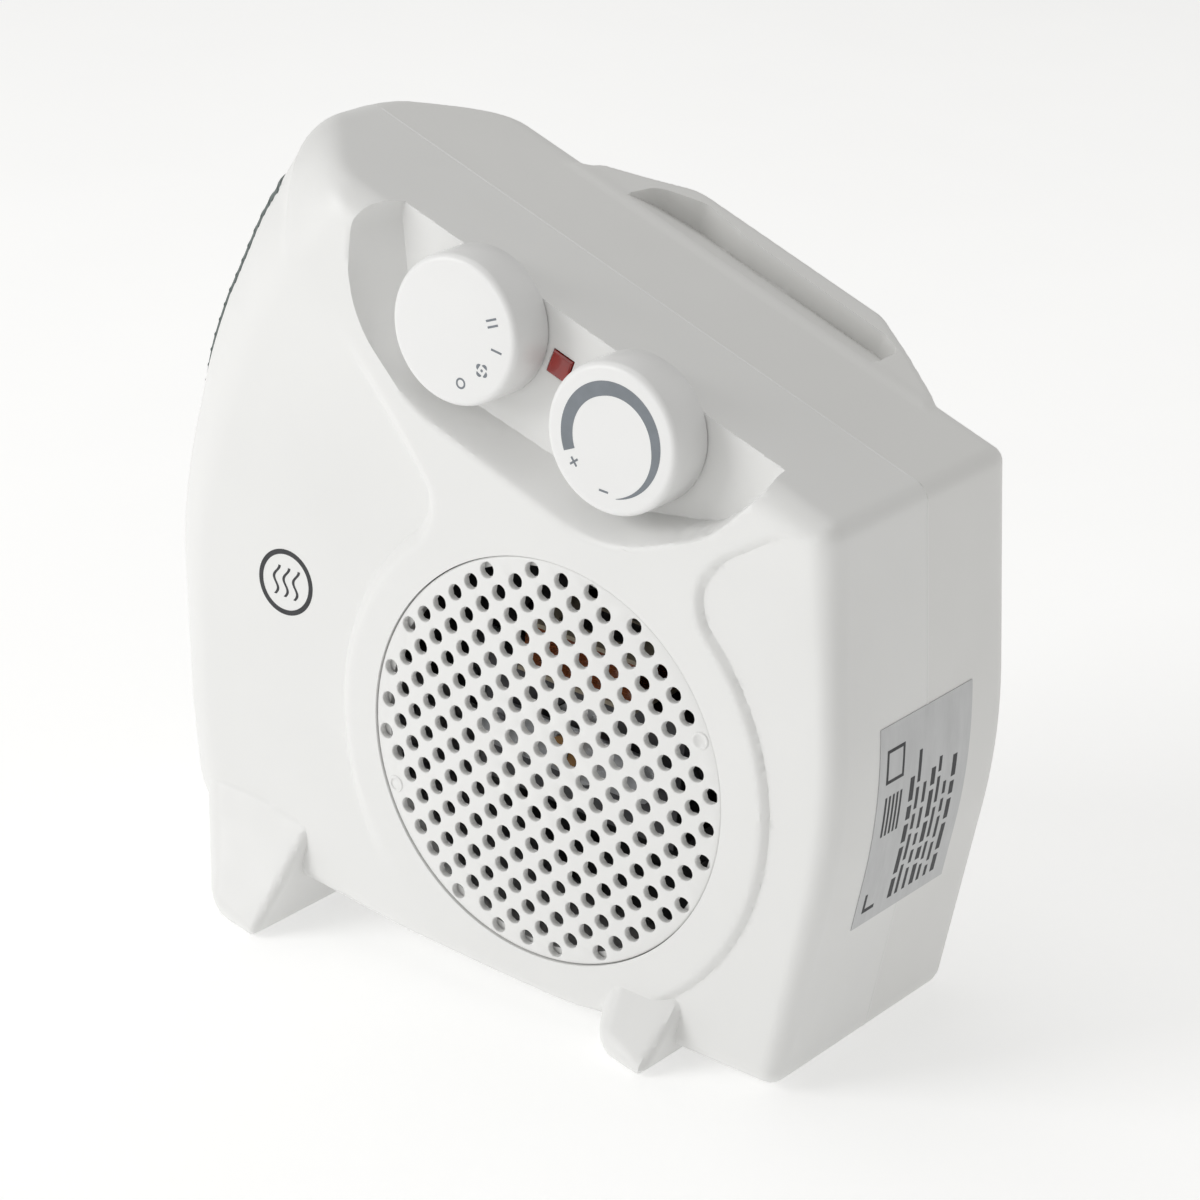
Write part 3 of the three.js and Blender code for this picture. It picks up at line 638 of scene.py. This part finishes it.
def line_relief(nodes, links, place_in, lines, depth, below):
    """Fine parallel ridges, as on a winding or a stack of sheets: axis letter and spacing."""
    axis, spacing = lines
    wave = nodes.new("ShaderNodeTexWave")
    wave.bands_direction = axis
    wave.wave_profile = "SIN"
    wave.inputs["Scale"].default_value = 2 * math.pi / spacing / 20
    wave.inputs["Distortion"].default_value = 0.4
    links.new(place_in.outputs["Object"], wave.inputs["Vector"])
    relief = nodes.new("ShaderNodeBump")
    relief.inputs["Strength"].default_value = depth
    relief.inputs["Distance"].default_value = 0.0005
    links.new(wave.outputs["Fac"], relief.inputs["Height"])
    links.new(below.outputs["Normal"], relief.inputs["Normal"])
    return relief


WHITE = material("white_moulded_plastic", (0.80, 0.80, 0.79), (0.775, 0.775, 0.765), 0.42,
                 mottle=14, grain=2600, bump=0.05)
REAR_WHITE = material("rear_moulded_plastic", (0.78, 0.778, 0.765), (0.755, 0.753, 0.74), 0.45,
                      mottle=14, grain=2600, bump=0.06)
KNOB_WHITE = material("knob_gloss_plastic", (0.82, 0.82, 0.815), (0.80, 0.80, 0.795), 0.34,
                      mottle=25, grain=3000, bump=0.03)
GRILLE_WHITE = material("grille_plastic", (0.80, 0.80, 0.79), (0.775, 0.775, 0.765), 0.44,
                        mottle=18, grain=2600, bump=0.05)
OUTLET_GREY = material("outlet_grey_plastic", (0.10, 0.125, 0.12), (0.125, 0.15, 0.145), 0.5,
                       mottle=60, grain=2200, bump=0.12)
BLACK = material("black_plastic", (0.018, 0.018, 0.02), (0.03, 0.03, 0.032), 0.48, bump=0.12)
CREAM = material("cream_ceramic_filled_plastic", (0.62, 0.56, 0.43), (0.55, 0.49, 0.37), 0.6, bump=0.2)
STEEL = material("zinc_plated_steel", (0.55, 0.56, 0.57), (0.47, 0.48, 0.50), 0.34, 1.0,
                 stretch=(1, 1, 6), bump=0.08, uneven=0.1)
SHEETS = material("stacked_silicon_steel", (0.20, 0.20, 0.205), (0.13, 0.13, 0.14), 0.5, 1.0,
                  bump=0.15, lines=("Y", 0.0007))
COPPER = material("enamelled_copper_wire", (0.60, 0.20, 0.07), (0.45, 0.13, 0.045), 0.3, 0.9,
                  coat=0.6, lines=("Z", 0.0006), line_depth=0.8)
ALUMINIUM = material("pressed_aluminium", (0.74, 0.75, 0.76), (0.62, 0.63, 0.65), 0.32, 1.0,
                     stretch=(1, 8, 1), bump=0.1, uneven=0.1)
BRASS = material("brass_strip", (0.72, 0.52, 0.22), (0.58, 0.40, 0.15), 0.3, 1.0, stretch=(5, 1, 1))
BRONZE = material("sintered_bronze", (0.46, 0.27, 0.12), (0.33, 0.19, 0.08), 0.5, 1.0, grain=3500,
                  bump=0.35)
CERAMIC = material("resistor_ceramic", (0.30, 0.25, 0.22), (0.22, 0.18, 0.16), 0.7, grain=2500,
                   bump=0.3)
RED = material("red_lens", (0.36, 0.022, 0.016), (0.24, 0.012, 0.01), 0.18, mottle=200, bump=0.02,
               coat=0.5)
GLASS = material("neon_glass", (0.62, 0.40, 0.34), (0.55, 0.33, 0.28), 0.08, coat=1.0, bump=0.0)
SILVER = material("silver_label_film", (0.56, 0.565, 0.57), (0.50, 0.505, 0.51), 0.38, 0.35,
                  stretch=(1, 5, 1), bump=0.04, uneven=0.08)
INK = material("dark_ink", (0.022, 0.023, 0.026), (0.035, 0.036, 0.04), 0.55, mottle=300, bump=0.05)
GREY_INK = material("grey_ink", (0.17, 0.19, 0.21), (0.19, 0.21, 0.235), 0.5, mottle=300, bump=0.04)


# ---- shells ----
def shells():
    left, right, bottom, top = -160, 106, -96, 164
    front = contour(front_shell, (left, -20, bottom), (right, PARTING + 4, top), STEP)
    piece("front_shell_moulding", *front, WHITE, "heater_body", "white_plastic", ["front_shell"])
    rear = contour(rear_shell, (left, PARTING - 4, bottom), (right, 120, top), STEP)
    piece("rear_shell_moulding", *rear, REAR_WHITE, "heater_body", "rear_plastic", ["rear_shell"])


def parting_lip():
    """A fine bead along the seam of the shells, from above the outlet round to below it."""
    z0, z1 = OUTLET_Z[0] - 1, OUTLET_Z[1] + 1
    half = [(0.15, 0), (0.12, 0.22), (0.02, 0.42), (-1.2, 0.42)]
    section = [(out, -y) for out, y in reversed(half)] + half[1:]
    path = [p for p in outline.polyline(3) if p[0][0] > OUTLET_RIGHT or not z0 < p[0][1] < z1]
    above = [i for i, p in enumerate(path) if p[0][0] < OUTLET_RIGHT and p[0][1] > z1]
    first = min(above, key=lambda i: path[i][0][1])
    path = path[first:] + path[:first]
    rings = []
    for here, normal in path:
        away = max(float(outer(here[0], PARTING, here[1])), 0)
        rings.append([(here[0] + normal[0] * (out - away), PARTING + y,
                       here[1] + normal[1] * (out - away)) for out, y in section])
    piece("parting_lip", *swept(rings), WHITE, "heater_body", "white_plastic")


# ---- intake grille ----
FIXINGS = [(10 * PITCH, 5 * PITCH), (-10 * PITCH, -5 * PITCH)]


def lattice():
    """Middles of the intake holes, every second spot of a square lattice inside the rim."""
    spots = []
    for i in range(-11, 12):
        for j in range(-11, 12):
            spot = (i * PITCH, j * PITCH)
            if (i + j) % 2 and math.hypot(i, j) <= 11.2 and spot not in FIXINGS:
                spots.append(spot)
    return spots


def crown(x, z):
    return 0.5 - DOME * (1 - (x * x + z * z) / GRILLE_R ** 2)


def intake_grille():
    """A domed disc with a chamfered hole at each spot of the lattice, and two small fixing rings."""
    thick, sides, rim_sides = 2.0, 16, 168
    hole_levels = [(0.3, 0.0), (0.09, 0.09), (0.0, 0.3), (0.0, thick)]
    rim_levels = [(-0.6, 0.0), (-0.2, 0.12), (0.0, 0.5), (0.0, thick)]
    fixing_levels = [(2.6, 0.0), (2.35, -0.35), (1.9, -0.35), (1.6, 0.0)]
    points, faces, flat, lines = [], [], [], []

    def loop(spot, radius, lift, count, on_top=True):
        first = len(points)
        for x, z in arc(spot, radius, 0, 360, count)[:-1]:
            points.append((x, crown(x, z) + lift, z))
            if on_top:
                flat.append((len(points) - 1, Vector((x, z))))
        ring = list(range(first, len(points)))
        if on_top:
            start = len(flat) - count
            lines.extend((start + k, start + (k + 1) % count) for k in range(count))
        return ring

    def walls(rings, inward):
        for one, two in zip(rings, rings[1:]):
            for k in range(len(one)):
                m = (k + 1) % len(one)
                face = (one[k], one[m], two[m], two[k])
                faces.append(face if inward else face[::-1])

    spots = lattice()
    hole_rings = [[loop(s, HOLE_R + grow, lift, sides, k == 0)
                   for k, (grow, lift) in enumerate(hole_levels)] for s in spots]
    for rings in hole_rings:
        walls(rings, True)
    rim = [loop((0, 0), GRILLE_R + grow, lift, rim_sides, k == 0)
           for k, (grow, lift) in enumerate(rim_levels)]
    walls(rim, False)
    for spot in FIXINGS:
        for radius, lift in fixing_levels:
            loop(spot, radius, lift, sides)
    top = [index for index, _ in flat]
    found = delaunay_2d_cdt([v for _, v in flat], lines, [], 0, 1e-5)
    centres = np.array(spots)
    back_of = {}
    for rings in hole_rings + [rim]:
        back_of.update(zip(rings[0], rings[-1]))
    for triangle in found[2]:
        middle = sum((found[0][i] for i in triangle), Vector((0, 0))) / 3
        if np.hypot(*(centres - np.array(middle)).T).min() < HOLE_R:
            continue
        front = [top[found[3][i][0]] for i in triangle]
        faces.append(tuple(front))
        behind = []
        for i in front:
            if i not in back_of:
                x, _, z = points[i]
                back_of[i] = len(points)
                points.append((x, crown(x, z) + thick, z))
            behind.append(back_of[i])
        faces.append(tuple(reversed(behind)))
    piece("intake_grille_disc", points, faces, GRILLE_WHITE, "heater_body", "white_plastic",
          ["intake_grille"], sharp=50)


# ---- controls ----
def knob(name, spot, body, node):
    """A smooth knob with soft edges, hollow behind, on a central boss."""
    rear = SCOOP - 0.3
    front = rear - KNOB_HEIGHT
    nose = [(KNOB_R - 2 + x, front + 2 - y) for x, y in arc((0, 0), 2, 90, 0, 10)]
    profile = [(0, front), (KNOB_R * 0.6, front)] + nose
    profile += [(KNOB_R + 0.15, rear - 0.6), (KNOB_R - 0.2, rear), (KNOB_R - 2.2, rear),
                (KNOB_R - 2.6, front + 4), (KNOB_R - 3.4, front + 3.2), (6.2, front + 3.2),
                (5.6, rear), (3.3, rear), (3.3, front + 5), (0, front + 5)]
    points, faces = turned(spot, profile, 128)
    piece(name, points, faces, KNOB_WHITE, body, "knob_plastic", [node], sharp=40)
    return front


def bar(spot, angle, length, width, offset=0.0):
    """Corners of a small bar across a radius of a dial; angle in degrees."""
    c, s = math.cos(math.radians(angle)), math.sin(math.radians(angle))
    corners = [(-length, -width), (length, -width), (length, width), (-length, width)]
    return [(spot[0] + (u / 2) * c - (v / 2 + offset) * s,
             spot[1] + (u / 2) * s + (v / 2 + offset) * c) for u, v in corners]


def dial_spot(centre, radius, angle):
    a = math.radians(angle)
    return centre[0] + radius * math.cos(a), centre[1] + radius * math.sin(a)


def mode_marks(front):
    """Four settings on the dial: off, fan, one bar and two bars."""
    y0, y1 = front - 0.05, front + 0.25
    parts = []
    for offset in (-0.9, 0.9):
        parts.append(slab(bar(dial_spot(MODE_AT, 14, 25), 25, 3.6, 0.62, offset), y0, y1))
    parts.append(slab(bar(dial_spot(MODE_AT, 15, -6), -6, 3.6, 0.62), y0, y1))
    fan = dial_spot(MODE_AT, 13.5, -38)
    for k in range(4):
        blade = dial_spot(fan, 1.25, 90 * k - 38)
        parts.append(slab(arc(blade, 0.95, 90 * k - 118, 90 * k + 62, 8), y0, y1))
    parts.append(slab(arc(fan, 0.42, 0, 340, 12), y0, y1))
    parts.append(turned(dial_spot(MODE_AT, 14.5, -74),
                        [(1.05, y0), (1.6, y0), (1.6, y1), (1.05, y1), (1.05, y0)], 28))
    piece("mode_knob_marks", *joined(parts), GREY_INK, "mode_control", "ink")


def thermostat_marks(front):
    """A band that tapers round the dial from high to low, with a plus and a minus."""
    y0, y1 = front - 0.05, front + 0.25
    angles = np.linspace(207, -77, 72)
    inner = np.interp(angles[::-1], [-77, 7, 110, 207], [16.1, 13.2, 12.1, 12.5])[::-1]
    outside = [dial_spot(THERMOSTAT_AT, 16.25, a) for a in angles]
    inside = [dial_spot(THERMOSTAT_AT, r, a) for r, a in zip(inner, angles)]
    band = swept([[(x, y0, z), (u, y0, w), (u, y1, w), (x, y1, z)]
                  for (x, z), (u, w) in zip(outside, inside)])
    parts = [band]
    plus = dial_spot(THERMOSTAT_AT, 14.5, -139)
    for angle in (-49, 41):
        parts.append(slab(bar(plus, angle, 3.0, 0.6), y0 - 0.01 * (angle > 0), y1))
    parts.append(slab(bar(dial_spot(THERMOSTAT_AT, 14.8, -92), 0, 3.0, 0.6), y0, y1))
    piece("thermostat_knob_marks", *joined(parts), GREY_INK, "thermostat_control", "ink")


def lamp_lens():
    """A square red window turned with the top, with bevelled edges, over its flange."""
    c, s = math.cos(TOP_SLOPE), math.sin(TOP_SLOPE)

    def square(size, y):
        corners = [(-size, -size), (size, -size), (size, size), (-size, size)]
        return [(LAMP_AT[0] + u * c - w * s, y, LAMP_AT[1] + u * s + w * c) for u, w in corners]

    levels = [(2.5, 12.5), (3.1, 12.7), (3.4, 13.2), (3.4, 16.4), (5, 16.4), (5, 18.6), (2, 18.6)]
    piece("lamp_lens_window", *swept([square(*level) for level in levels]), RED, "heater_body",
          "red_lens", ["lamp_lens"], sharp=20)


# ---- outlet grille ----
def rib_height(z):
    """How far the ribs stand out of the side: more above the middle."""
    return float(np.interp(z, *zip(*RIB_HEIGHT)))


def left_skin(y, z):
    """Points of the left side at some depths and a height, and the normals there."""
    y = np.asarray(y, float)
    z = np.full(y.shape, float(z))
    near, far = np.full(y.shape, -80.0), np.full(y.shape, -175.0)
    for _ in range(30):
        middle = (near + far) / 2
        inside = outer(middle, y, z) < 0
        near, far = np.where(inside, middle, near), np.where(inside, far, middle)
    here = np.stack([middle, y, z], 1)
    return here, slopes(outer, here)


def outlet_grille():
    """Slim ribs across the curved side, on three rails, in a frame."""
    depth, gap = 5.0, 0.35
    y0, y1 = OUTLET_Y[0] + gap, OUTLET_Y[1] - gap
    z0, z1 = OUTLET_Z[0] + gap, OUTLET_Z[1] - gap
    parts = []
    for first, last, below in ((y0, y0 + 3, 0.2), (y1 - 3, y1, 0.4), (46.2, 48.8, 1.7)):
        section = [(first, -0.5), (first + 0.6, 0), (last - 0.6, 0), (last, -0.5),
                   (last, -depth), (first, -depth)]
        rings = []
        for z in np.linspace(z0, z1, 50):
            here, normal = left_skin([y for y, _ in section], z)
            out = np.array([out for _, out in section]) + rib_height(z) - below
            rings.append(here + normal * out[:, None])
        parts.append(swept(rings))
    count = round((z1 - z0) / PITCH)
    nose = arc((0, 0), 0.95, 90, -90, 8)
    for k in range(count + 1):
        z = z0 + 1.4 + (z1 - z0 - 2.8) * k / count
        here, normal = left_skin(np.linspace(y0 + 0.4, y1 - 0.4, 22), z)
        down = normal * normal[:, 2:] - np.array([0, 0, 1.0])
        down /= np.linalg.norm(down, axis=1, keepdims=True)
        section = [(rib_height(z) - 0.95 + u, v) for u, v in nose] + [(-depth, -0.6), (-depth, 0.6)]
        rings = [[h + n * u + d * v for u, v in section] for h, n, d in zip(here, normal, down)]
        parts.append(swept(rings))
    piece("outlet_grille_ribs", *joined(parts), OUTLET_GREY, "heater_body", "outlet_grey",
          ["outlet_grille"])


# ---- label, badge and screws ----
def on_label(y0, y1, z0, z1, low, high):
    """A thin patch on the narrow right side."""
    steps = max(2, round((z1 - z0) / 2.5))
    return swept([[on_side(1, z, low, y0), on_side(1, z, low, y1), on_side(1, z, high, y1),
                   on_side(1, z, high, y0)] for z in np.linspace(z0, z1, steps + 1)])


def rating_label():
    """A silvery label with plain generic print: columns of bars, a block and a frame."""
    lo, hi = 0.02, 0.22
    piece("rating_label_film", *on_label(23.5, 70.5, -26, 35, lo, hi), SILVER, "heater_body",
          "sticker", ["rating_label"])
    ink = []
    for column in range(7):
        y = 40 + column * 3.7
        length = 44 + 8 * math.sin(column * 2.1)
        start = -22.0
        for word in range(5):
            size = length * (0.14 + 0.05 * math.sin(column + word * 1.7))
            ink.append(on_label(y, y + (1.5 if column % 3 else 2.2), start, start + size, hi, hi + 0.03))
            start += size + 1.6
    for k in range(5):
        ink.append(on_label(27.5 + k * 1.9, 28.5 + k * 1.9, 2, 14, hi, hi + 0.03))
    ink.append(on_label(27, 36, 18, 19, hi, hi + 0.03))
    ink.append(on_label(27, 36, 27, 28, hi, hi + 0.03))
    ink.append(on_label(27, 28, 19, 27, hi, hi + 0.03))
    ink.append(on_label(35, 36, 19, 27, hi, hi + 0.03))
    for y0, y1, z0, z1 in ((27, 28.2, -22, -16), (28.2, 33, -22, -20.8)):
        ink.append(on_label(y0, y1, z0, z1, hi, hi + 0.03))
    piece("rating_label_print", *joined(ink), INK, "heater_body", "ink")


def round_badge():
    """A dark ring with three rising heat waves, printed on the left wing."""
    centre, y0, y1 = (-97.7, 21), WING_STEP - 0.06, WING_STEP + 0.1
    parts = [turned(centre, [(8.5, y0), (10, y0), (10, y1), (8.5, y1), (8.5, y0)], 72)]
    for across in (-3.6, 0, 3.6):
        line = [(across + 0.9 * math.sin(t), -4.6 + 9.2 * t / 8) for t in np.linspace(0, 8, 33)]
        loop = [(centre[0] + u - 0.45, centre[1] + w) for u, w in line]
        loop += [(centre[0] + u + 0.45, centre[1] + w) for u, w in reversed(line)]
        parts.append(slab(loop, y0, y1))
    piece("round_badge_print", *joined(parts), INK, "heater_body", "ink", ["round_badge"])


def case_screws():
    """Pan-head screws with a cross recess, seen from behind in their sinks."""
    for number, spot in enumerate(CASE_SCREWS, 1):
        node = f"case_screw_{number}"
        top = (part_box(node)[1].y - HUB[1]) * 1000 + FAN_DEPTH
        tip = (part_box(node)[0].y - HUB[1]) * 1000 + FAN_DEPTH
        head = [(3.4, top - 1.9), (3.4, top - 1.0), (2.9, top - 0.35), (1.9, top)]
        shank = [(0, tip), (0.5, tip + 0.6), (1.4, tip + 3)]
        for k in range(24):
            y = tip + 3 + k * 0.8
            shank += [(1.35, y), (1.75, y + 0.4)]
        points, faces = turned(spot, shank + [(1.4, top - 2), *head], 32)
        last = list(range(len(points) - 32, len(points)))
        floor = []
        for i in range(32):
            angle = 2 * math.pi * i / 32
            reach = 1.55 if i % 8 in (0, 1, 7) else 0.62
            for y in (top, top - 1.3):
                floor.append((spot[0] + reach * math.cos(angle), y, spot[1] + reach * math.sin(angle)))
        base = len(points)
        points += floor + [(spot[0], top - 1.5, spot[1])]
        for i in range(32):
            j = (i + 1) % 32
            upper, lower = base + 2 * i, base + 2 * i + 1
            next_upper, next_lower = base + 2 * j, base + 2 * j + 1
            faces.append((last[i], upper, next_upper, last[j]))
            faces.append((upper, lower, next_lower, next_upper))
            faces.append((lower, base + 64, next_lower))
        piece(f"case_screw_{number}_cross", points, faces, STEEL, "heater_body", "steel", [node])


# ---- finishes of the CAD nodes that stay ----
NODE_FINISH = {
    "motor_laminations": SHEETS, "motor_rotor": ALUMINIUM, "coil_bobbin": CREAM,
    "motor_coil": COPPER, "bearing": BRONZE, "motor_": STEEL, "strap_screw": STEEL,
    "wheel_clip": STEEL, "mode_shaft": CREAM, "thermostat_shaft": BRASS, "rotary_switch": BLACK,
    "thermostat_body": CERAMIC, "neon_lamp": GLASS, "blower_wheel": BLACK, "fan_scroll": BLACK,
    "intake_plate": BLACK, "ceramic_bar": CERAMIC, "fin_pack": ALUMINIUM, "element_holder": CREAM,
    "element_tab": BRASS, "thermal_cutout": STEEL, "cord_gland": BLACK, "terminal_block": CREAM,
}


def finish_nodes():
    for name, node in frame["nodes"].items():
        if node.hide_render:
            continue
        key = max((k for k in NODE_FINISH if name.startswith(k)), key=len)
        node.data.materials.clear()
        node.data.materials.append(NODE_FINISH[key])
        edges = node.modifiers.new("soft_edges", "BEVEL")
        edges.width, edges.segments, edges.limit_method = 0.00025, 2, "ANGLE"
        edges.angle_limit = math.radians(40)


# ---- stage ----
EYE = (561.6, -817.4, 489.8)
VIEW_AZIMUTH, VIEW_ELEVATION, VIEW_ROLL = (math.radians(a) for a in (33.85, 23.88, -5.78))


def camera():
    """The camera in the design frame, then leaned with it."""
    back = Vector((math.sin(VIEW_AZIMUTH) * math.cos(VIEW_ELEVATION),
                   -math.cos(VIEW_AZIMUTH) * math.cos(VIEW_ELEVATION), math.sin(VIEW_ELEVATION)))
    level = Vector((0, 0, 1)).cross(back).normalized()
    upright = back.cross(level)
    right = math.cos(VIEW_ROLL) * level - math.sin(VIEW_ROLL) * upright
    up = back.cross(right)
    turn = Matrix((right, up, back)).transposed()
    lens = bpy.data.cameras.new("camera")
    lens.lens, lens.sensor_width = 120, 36
    lens.clip_start, lens.clip_end = 0.05, 60
    made = bpy.data.objects.new("camera", lens)
    bpy.context.scene.collection.objects.link(made)
    made.matrix_world = (Matrix.Translation(Vector(to_row([EYE])[0]))
                         @ (Matrix.Rotation(LEAN, 3, "Y") @ turn).to_4x4())
    bpy.context.scene.camera = made


def floor():
    mesh = bpy.data.meshes.new("floor")
    size = 9
    mesh.from_pydata([(-size, -size, 0), (size, -size, 0), (size, size, 0), (-size, size, 0)], [],
                     [(0, 1, 2, 3)])
    pale = material("pale_floor", (0.86, 0.86, 0.855), (0.84, 0.84, 0.835), 0.7,
                    mottle=3, grain=300, bump=0.02)
    pale.node_tree.nodes["Principled BSDF"].inputs["Emission Color"].default_value = (1, 1, 1, 1)
    pale.node_tree.nodes["Principled BSDF"].inputs["Emission Strength"].default_value = 0.34
    mesh.materials.append(pale)
    made = bpy.data.objects.new("floor", mesh)
    made.location.z = -0.0004
    bpy.context.scene.collection.objects.link(made)


def softbox(name, spot, target, size, power, colour=(1, 1, 1)):
    light = bpy.data.lights.new(name, "AREA")
    light.shape, light.size, light.size_y = "RECTANGLE", size[0], size[1]
    light.energy, light.color = power, colour
    made = bpy.data.objects.new(name, light)
    bpy.context.scene.collection.objects.link(made)
    made.location = spot
    made.rotation_mode = "QUATERNION"
    made.rotation_quaternion = (Vector(spot) - Vector(target)).to_track_quat("Z", "Y")


def studio():
    world = bpy.data.worlds.new("studio")
    world.use_nodes = True
    ground = world.node_tree.nodes["Background"]
    ground.inputs["Color"].default_value = (0.98, 0.975, 0.955, 1)
    ground.inputs["Strength"].default_value = 0.46
    bpy.context.scene.world = world
    middle = (0, 0, 0.12)
    softbox("key", (-1.3, -1.6, 0.9), middle, (1.2, 1.2), 19.5)
    softbox("over", (-0.4, 0.3, 2.0), middle, (1.6, 1.6), 7.4)
    softbox("low", (-0.6, -2.0, 0.35), middle, (1.4, 0.6), 1.2)
    softbox("back", (0.6, 1.7, 1.2), middle, (1.4, 1.2), 1.2)
    bpy.context.scene.view_settings.view_transform = "Standard"


shells()
parting_lip()
intake_grille()
mode_marks(knob("mode_knob_cap", MODE_AT, "mode_control", "mode_knob"))
thermostat_marks(knob("thermostat_knob_cap", THERMOSTAT_AT, "thermostat_control", "thermostat_knob"))
lamp_lens()
outlet_grille()
rating_label()
round_badge()
case_screws()
finish_nodes()
camera()
floor()
studio()
